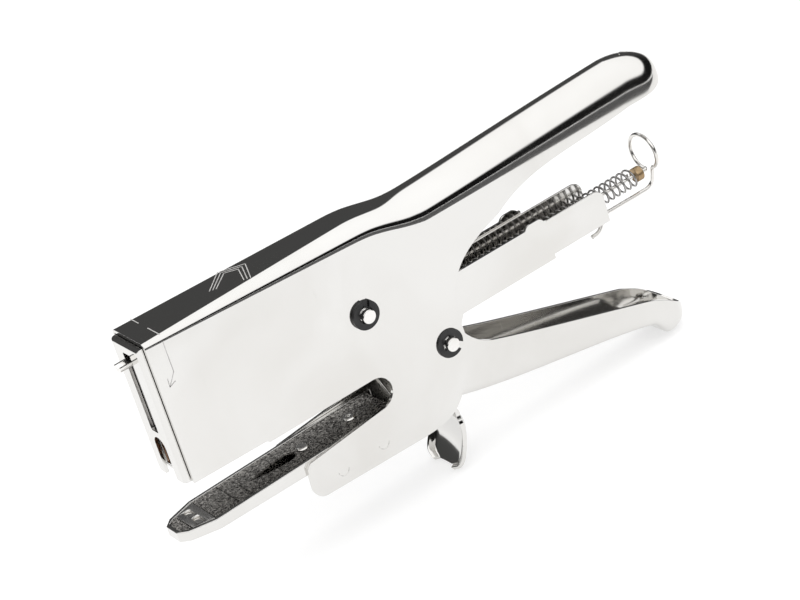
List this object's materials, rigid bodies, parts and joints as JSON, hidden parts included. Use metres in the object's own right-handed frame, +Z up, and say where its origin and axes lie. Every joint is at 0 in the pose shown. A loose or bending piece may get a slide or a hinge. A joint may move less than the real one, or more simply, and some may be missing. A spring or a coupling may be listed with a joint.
{
  "type": "stapling plier",
  "caption": "Hand-held heavy-duty stapling plier in bright nickel, with a squeeze lever, pivoting magazine, driver and feed rod.",
  "frame": {"origin": "underside of the anvil arm, in the middle of its width, below the front edge of the head", "axes": "+X from the nose to the ends of the grips, +Y across to the far side plate, +Z up from the anvil arm to the head"},
  "size_m": [0.2302, 0.0266, 0.1085],
  "materials": {
    "nickel": "bright nickel plate",
    "bright_steel": "polished",
    "spring_steel": "drawn wire",
    "dark_steel": "satin",
    "dark_crackle": "grained, dark",
    "black_oxide": "black oxide",
    "bronze": "sintered bronze",
    "copper_wire": "copper-washed wire"
  },
  "bodies": {
    "frame": {"body_shell": "nickel", "anvil_arm": "nickel", "anvil_plate": "dark_crackle", "clinch_plate": "bright_steel", "anvil_front_rivet": "bright_steel", "anvil_rear_rivet": "bright_steel", "heel": "nickel", "handle_pivot_pin": "bright_steel", "magazine_pivot_pin": "bright_steel", "handle_pivot_clip": "black_oxide", "magazine_pivot_clip": "black_oxide", "pivot_washer": "black_oxide", "lever_return_spring": "spring_steel", "lever_pivot_bush": "bronze"},
    "lever": {"squeeze_lever": "nickel", "driver_cross_pin": "bright_steel"},
    "magazine": {"nose_plate": "nickel", "nose_rivets": "bright_steel", "magazine_channel": "nickel", "inner_channel": "nickel", "magazine_bush": "bronze", "magazine_lift_spring": "spring_steel", "staple_strip": "copper_wire"},
    "driver": {"driver_blade": "spring_steel", "driver_carrier": "bright_steel", "driver_tongue": "bright_steel"},
    "rod": {"feed_rod": "bright_steel", "rod_bush": "bronze", "pusher_spring": "spring_steel"},
    "pusher": {"staple_pusher": "dark_steel"}
  },
  "joints": [
    {"name": "lever_squeeze", "type": "hinge", "parent": "frame", "child": "lever", "pos_m": [0.0775, 0, 0.043], "axis": [0, -1, 0], "range_deg": [0, 21], "stiffness_Nm_per_rad": 1.2, "springref_deg": -20.05},
    {"name": "magazine_clamp", "type": "hinge", "parent": "frame", "child": "magazine", "pos_m": [0.105, 0, 0.0164], "axis": [0, -1, 0], "range_deg": [0, 8.6]},
    {"name": "driver_stroke", "type": "slide", "parent": "magazine", "child": "driver", "axis": [0, 0, -1], "range_m": [0, 0.0115]},
    {"name": "rod_pull", "type": "slide", "parent": "magazine", "child": "rod", "axis": [1, 0, 0], "range_m": [0, 0.06]},
    {"name": "pusher_feed", "type": "slide", "parent": "rod", "child": "pusher", "axis": [1, 0, 0], "range_m": [0, 0.04], "stiffness_N_per_m": 60, "springref_m": -0.03, "deforming": ["pusher_spring"]}
  ],
  "couplings": [
    {"joint": "magazine_clamp", "follows": "lever_squeeze", "ratio": 0.40952},
    {"joint": "driver_stroke", "follows": "lever_squeeze", "m_per_rad": 0.03124}
  ]
}
